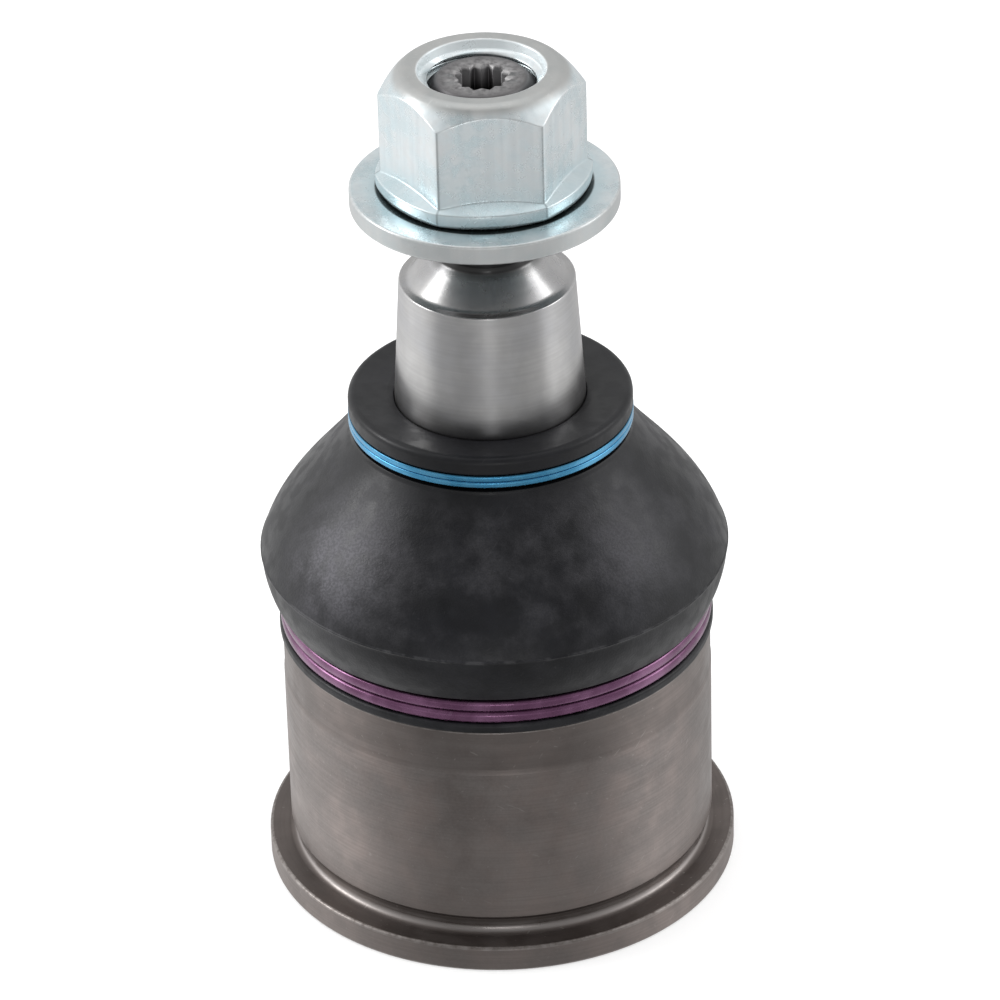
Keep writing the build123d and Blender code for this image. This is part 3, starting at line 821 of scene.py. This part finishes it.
def zinc_plate():
    """Bluish zinc plating: soft grain, faint clouds, small pits and bright rubbed edges; painted shade in the
    collar's joint and under the washer, painted dark reflections on the nut's corners and a painted highlight
    in the countersink.
    """
    mat = Finish("zinc_plate")
    lines = mat.group("turning_marks", Pitch=0.25, Reach=6.0)["Lines"]
    patches, clouds, specks = mat.group("mottle", Size=5.0, Speck_Size=0.22)[:3]
    wear = mat.group("edge_wear", Amount=0.35, Grain=1.8)["Wear"]
    scratch, nick = mat.group("scratches", Density=0.6, Length=2.0)[:2]
    drawn = mat.noise(mat.stretch(mat.millimetres(), 1.1, 1.1, 0.05), 1.0, 2.0, 0.5)
    x, y, level = mat.split(mat.millimetres())
    radius = mat.math("SQRT", mat.radius_squared(x, y))

    tint = mat.times(mat.step(level, NUT_BOTTOM, NUT_BOTTOM + 7.0, 0.55, 0.0),
                     mat.step(radius, 13.0, 15.0, 1.0, 0.2))
    top = mat.times(mat.step(level, NUT_TOP - 1.3, NUT_TOP - 0.4),
                    mat.step(radius, SINK_R - 0.15, SINK_R + 0.15))
    # painted highlight in the countersink
    countersink_painted_highlight = mat.times(mat.step(radius, SINK_R - 0.05, SINK_R + 0.15, 1.0, 0.0),
                     mat.step(level, NUT_TOP - 1.2, NUT_TOP - 0.95))
    rim = mat.step(radius, WASHER_R - 0.3, WASHER_R - 0.05)
    # painted shade on the washer's underside
    under = mat.step(level, WASHER_LOW + 0.05, WASHER_LOW + 0.25, 0.7, 0.0)
    # painted dark reflection on the nut's corners
    corner = mat.step(mat.edge(), -1.0, -0.3, 0.4, 0.0)
    # painted shade in the joint between the collar and the washer
    gap = mat.times(mat.step(level, NUT_BOTTOM + 0.15, NUT_BOTTOM + 0.4, 1.0, 0.0),
                    mat.times(mat.step(level, WASHER_TOP - 0.3, WASHER_TOP - 0.1),
                              mat.step(radius, COLLAR_R - 0.05, COLLAR_R + 0.2, 1.0, 0.0)))

    colour = mat.mix(patches, (0.585, 0.68, 0.71), (0.71, 0.765, 0.785))
    colour = mat.mix(mat.step(clouds, 0, 1, 0.0, 0.45), colour, (0.69, 0.69, 0.685))
    colour = mat.mix(mat.step(drawn, 0.35, 0.7, 0.0, 0.35), colour, (0.52, 0.575, 0.60))
    colour = mat.mix(mat.times(specks, 0.07), colour, (0.52, 0.56, 0.57))
    colour = mat.mix(tint, colour, (0.51, 0.665, 0.71))
    colour = mat.mix(mat.times(top, 0.8), colour, (0.395, 0.392, 0.38))
    colour = mat.mix(mat.times(rim, 0.6), colour, (0.45, 0.44, 0.43))
    # painted dark reflections on the nut's corners and painted shade in the collar's joint
    colour = mat.mix(mat.larger(corner, gap), colour, (0.035, 0.05, 0.052))
    # painted shade on the washer's underside
    colour = mat.mix(under, colour, (0.08, 0.08, 0.08))
    colour = mat.mix(mat.times(nick, 0.2), colour, (0.28, 0.29, 0.30))
    colour = mat.mix(mat.larger(wear, mat.times(scratch, 0.12)), colour, (0.80, 0.82, 0.82))
    # painted highlight in the countersink
    colour = mat.mix(mat.times(countersink_painted_highlight, 0.8), colour, (0.84, 0.90, 0.92))

    metallic = mat.add(mat.step(clouds, 0, 1, 0.76, 0.68), mat.times(countersink_painted_highlight, -0.4))
    rough = mat.add(mat.step(patches, 0, 1, 0.22, 0.33), mat.times(specks, 0.02))
    rough = mat.add(rough, mat.times(mat.larger(top, rim), 0.08))
    relief = mat.add(mat.times(clouds, 0.25), mat.add(mat.times(lines, 0.25), mat.times(nick, -0.3)))
    return mat.surface(colour, rough, metallic, relief, depth=0.008)


# Spots on the boot, partly dusty bloom and partly painted sheen of the side lights: middle, reach and
# strength.
SHEEN_AND_BLOOM_SPOTS = (((-18.5, -15.0, 50.0), 12.0, 0.6), ((16.0, -17.0, 50.5), 10.0, 0.22))


def boot_rubber():
    """Black moulded rubber: dust, two spots of dusty bloom with painted sheen, and a scuffed parting line;
    the lip is cleaner.
    """
    mat = Finish("boot_rubber", Specular_IOR_Level=0.36)
    patches, clouds, specks = mat.group("mottle", Size=7.0, Speck_Size=0.3)[:3]
    scratch = mat.group("scratches", Density=0.25, Length=9.0)["Scratch"]
    level = mat.split(mat.millimetres())[2]
    bellows = mat.step(level, 56.0, 60.0, 1.0, 0.1)
    dust = mat.times(mat.group("dust", Amount=0.32, Patch=6.5)["Dust"], bellows)

    colour = mat.mix(patches, (0.0040, 0.0042, 0.0055), (0.0075, 0.0078, 0.0100))
    colour = mat.mix(dust, colour, (0.085, 0.083, 0.092))
    # spots of dusty bloom and painted sheen
    for place, reach, amount in SHEEN_AND_BLOOM_SPOTS:
        away = mat.put("VectorMath", {0: mat.millimetres(), 1: place}, out=1, operation="DISTANCE")
        bloom = mat.times(mat.step(away, 0, reach, amount, 0.0), mat.step(specks, 0, 1, 0.55, 1.0))
        bloom = mat.times(bloom, mat.step(clouds, 0, 1, 0.4, 1.0))
        colour = mat.mix(bloom, colour, (0.160, 0.155, 0.176))
    off = mat.math("ABSOLUTE", mat.add(level, -PARTING_Z))
    parting = mat.times(mat.step(off, 0.08, 0.35, 1.0, 0.0), mat.step(clouds, 0.4, 0.9, 0.0, 0.8))
    marks = mat.larger(mat.times(parting, 0.28), mat.times(scratch, 0.08))
    colour = mat.mix(marks, colour, (0.11, 0.11, 0.115))

    rough = mat.add(mat.step(clouds, 0, 1, 0.32, 0.44), mat.times(dust, 0.35))
    grain = mat.times(mat.times(specks, bellows), 0.5)
    relief = mat.add(grain, mat.add(mat.times(clouds, 0.5), mat.times(scratch, -0.2)))
    return mat.surface(colour, rough, height=relief, depth=0.012)


def coated_wire(name, metallic, deep, pale, bare):
    """Lacquered spring wire: tone drifts along it, the coat is thin on its edges, and painted shade darkens
    its top and bottom borders along the boot.
    """
    mat = Finish(name, metallic=metallic, Coat_Weight=0.3, Coat_Roughness=0.12)
    patches, clouds, specks = mat.group("mottle", Size=4.0, Speck_Size=0.25)[:3]
    wear = mat.group("edge_wear", Amount=0.2, Grain=0.9)["Wear"]
    scratch = mat.group("scratches", Density=0.6, Length=3.0)["Scratch"]
    # painted shade on the ring's borders
    border = mat.step(mat.edge(), -0.9, -0.1, 0.85, 0.0)
    colour = mat.mix(patches, deep, pale)
    colour = mat.mix(mat.times(specks, 0.06), colour, deep)
    colour = mat.mix(mat.larger(wear, mat.times(scratch, 0.1)), colour, bare)
    colour = mat.mix(border, colour, [0.15 * c for c in deep])
    rough = mat.step(clouds, 0, 1, 0.20, 0.30)
    return mat.surface(colour, rough, height=patches, depth=0.0015)


def pressed_steel(name, dark, light, smooth, dull):
    """Rolled plate: long grain, a cloudy oil film between smooth and dull, and specks."""
    mat = Finish(name, metallic=1.0)
    lines = mat.group("turning_marks", Pitch=0.5, Reach=8.0)["Lines"]
    patches, clouds, specks = mat.group("mottle", Size=7.0, Speck_Size=0.4)[:3]
    scratch = mat.group("scratches", Density=0.6, Length=4.0)["Scratch"]
    colour = mat.mix(patches, dark, light)
    colour = mat.mix(mat.times(scratch, 0.5), colour, (0.6, 0.6, 0.59))
    rough = mat.add(mat.step(clouds, 0, 1, smooth, dull), mat.times(specks, 0.05))
    return mat.surface(colour, rough, height=mat.add(lines, mat.times(specks, 0.5)), depth=0.006)


def bearing_plastic():
    """Moulded acetal, slightly yellowed, with a fine eroded grain."""
    mat = Finish("bearing_plastic")
    patches, clouds, specks = mat.group("mottle", Size=6.0, Speck_Size=0.18)[:3]
    colour = mat.mix(patches, (0.80, 0.79, 0.72), (0.74, 0.72, 0.62))
    colour = mat.mix(mat.times(specks, 0.1), colour, (0.66, 0.64, 0.55))
    rough = mat.step(clouds, 0, 1, 0.38, 0.5)
    return mat.surface(colour, rough, height=specks, depth=0.01)


def cover_with(obj, material):
    """Give a piece this one material."""
    obj.data.materials.clear()
    obj.data.materials.append(material)


# ---------------------------------------------------------------------------
# Studio
# ---------------------------------------------------------------------------

MIDDLE = (0, 0, 0.05)   # the lights look at the middle of the joint


def camera():
    """Long lens from the front, above the joint, with a slight roll."""
    data = bpy.data.cameras.new("camera")
    data.sensor_width = 36
    data.lens = 197.75
    data.clip_start = 0.01
    data.clip_end = 20
    obj = bpy.data.objects.new("camera", data)
    right = Vector((0.99960945, -0.01552303, -0.02323753))
    up = Vector((0.0279189, 0.51850421, 0.85461916))
    turn = Matrix((right, up, right.cross(up))).transposed().to_4x4()
    obj.matrix_world = Matrix.Translation((0, -0.560145, 0.388287)) @ turn
    bpy.context.scene.collection.objects.link(obj)
    bpy.context.scene.camera = obj


def place_light(name, data, place, aim=MIDDLE, mirrored=True):
    """Put a light at a place, aimed at a point; mirrored lights show in glossy surfaces."""
    obj = bpy.data.objects.new(name, data)
    obj.location = place
    obj.visible_camera = False
    obj.rotation_euler = (Vector(aim) - Vector(place)).to_track_quat("-Z", "Y").to_euler()
    obj.visible_glossy = mirrored
    bpy.context.scene.collection.objects.link(obj)


def soft_box(name, place, size, level, aim=MIDDLE):
    """Rectangular light of an even brightness level: its power is level x pi x area."""
    data = bpy.data.lights.new(name, "AREA")
    data.shape = "RECTANGLE"
    data.size, data.size_y = size
    data.energy = level * math.pi * size[0] * size[1]
    place_light(name, data, place, aim)


# Brightness of the room by direction, in degrees round from the camera's side; minus is left.
ROOM = ((-180, 0.64), (-140, 0.95), (-112, 1.15), (-90, 1.05), (-62, 0.50), (-30, 0.29), (0, 0.34),
        (35, 0.34), (60, 0.50), (83, 1.05), (100, 0.95), (128, 0.70), (180, 0.64))
CEILING = 1.15
RAMP_SCALE = 2          # a ramp's colours end at 1, so the levels are halved in it


def room():
    """Light tent: dim on the camera's side, bright at the sides and overhead, white to the camera."""
    world = bpy.data.worlds.new("studio_light")
    world.use_nodes = True
    bench = Bench(world.node_tree)
    x, y, z = bench.split(bench.put("TexCoord", out=0))
    round_about = bench.math("ARCTAN2", x, bench.times(y, -1))
    ramp = world.node_tree.nodes.new("ShaderNodeValToRGB")
    bench.feed(ramp.inputs[0], bench.add(bench.times(round_about, 1 / (2 * math.pi)), 0.5))
    stops = ramp.color_ramp.elements
    for degrees, _ in ROOM[1:-1]:
        stops.new(degrees / 360 + 0.5)
    for stop, (_, level) in zip(stops, ROOM):
        stop.color = (*[level / RAMP_SCALE] * 3, 1)
    ramp.color_ramp.interpolation = "EASE"

    def blend(share, a, b):
        rest = bench.add(1, bench.times(share, -1))
        return bench.add(bench.times(a, rest), b)

    overhead = bench.step(bench.add(bench.times(z, 0.94), bench.times(y, 0.34)), 0.78, 0.97)
    level = blend(overhead, bench.times(ramp.outputs[0], RAMP_SCALE), bench.times(overhead, CEILING))
    seen = bench.put("LightPath", out=0)
    background = world.node_tree.nodes["Background"].inputs
    bench.feed(background["Color"], (1, 1, 1))
    bench.feed(background["Strength"], blend(seen, level, seen))
    bpy.context.scene.world = world


def pale_floor():
    """Plain matt floor that glows a little, so that it stays paler than the joint's shadow."""
    mat = Finish("pale_floor", roughness=0.9, Emission_Color=(1, 1, 1, 1), Emission_Strength=0.45)
    tone = mat.noise(mat.put("TexCoord", out=3), 3.0)
    return mat.surface(mat.mix(tone, (0.60, 0.60, 0.60), (0.61, 0.61, 0.61)), None)


def studio():
    """Room, floor, a soft ceiling light, and four boxes and cards that the metal mirrors."""
    bpy.context.scene.view_settings.view_transform = "Standard"
    room()
    half = 4
    mesh = bpy.data.meshes.new("floor")
    mesh.from_pydata([(-half, -half, 0), (half, -half, 0), (half, half, 0), (-half, half, 0)],
                     [], [(0, 1, 2, 3)])
    floor = bpy.data.objects.new("floor", mesh)
    floor.visible_glossy = False
    bpy.context.scene.collection.objects.link(floor)
    cover_with(floor, pale_floor())
    sun = bpy.data.lights.new("ceiling", "SUN")
    sun.energy = 1.6
    sun.angle = math.radians(70)
    place_light("ceiling", sun, (0, -0.1, 1.0), mirrored=False)
    soft_box("left_box", (-0.537, 0.051, 0.345), size=(0.26, 0.22), level=6.0)
    soft_box("right_box", (0.537, 0.051, 0.345), size=(0.24, 0.20), level=2.8)
    soft_box("front_strip", (0, -0.9, 0.07), size=(0.22, 0.10), level=5.0)
    soft_box("front_card", (0, -0.33, 0.003), size=(0.6, 0.34), level=0.42, aim=(0, -0.33, 1))


# ---------------------------------------------------------------------------
# The joint in its studio
# ---------------------------------------------------------------------------

housing_obj = housing()
boot_obj = boot()
lower_ring_obj = wire_ring("lower_wire", "lower_ring", "housing",
                           width=1.4, height=1.47, gap=0.06, power=0.75)
upper_ring_obj = wire_ring("upper_wire", "upper_ring", "boot_neck",
                           width=0.95, height=0.775, gap=0.01, power=0.45)
stud_obj = stud()
nut_obj = nut()
washer_obj = washer()

purple_coat = coated_wire("lower_ring_coat", metallic=0.7, deep=(0.14, 0.052, 0.118),
                          pale=(0.235, 0.105, 0.205), bare=(0.50, 0.34, 0.48))
blue_coat = coated_wire("upper_ring_coat", metallic=0.85, deep=(0.06, 0.30, 0.53),
                        pale=(0.11, 0.39, 0.63), bare=(0.45, 0.65, 0.76))
cover_steel = pressed_steel("cover_steel", dark=(0.33, 0.32, 0.31), light=(0.40, 0.39, 0.38),
                            smooth=0.28, dull=0.42)
spring_steel = pressed_steel("spring_steel", dark=(0.15, 0.15, 0.17), light=(0.22, 0.22, 0.24),
                             smooth=0.3, dull=0.4)
zinc = zinc_plate()
plastic = bearing_plastic()

for piece, finish in (
        (housing_obj, housing_steel()), (boot_obj, boot_rubber()), (lower_ring_obj, purple_coat),
        (upper_ring_obj, blue_coat), (stud_obj, stud_steel()), (nut_obj, zinc), (washer_obj, zinc),
        (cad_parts["closing_cover"], cover_steel), (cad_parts["preload_spring"], spring_steel),
        (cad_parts["lower_seat"], plastic), (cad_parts["upper_seat"], plastic)):
    cover_with(piece, finish)

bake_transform(boot_obj)
studio()
camera()
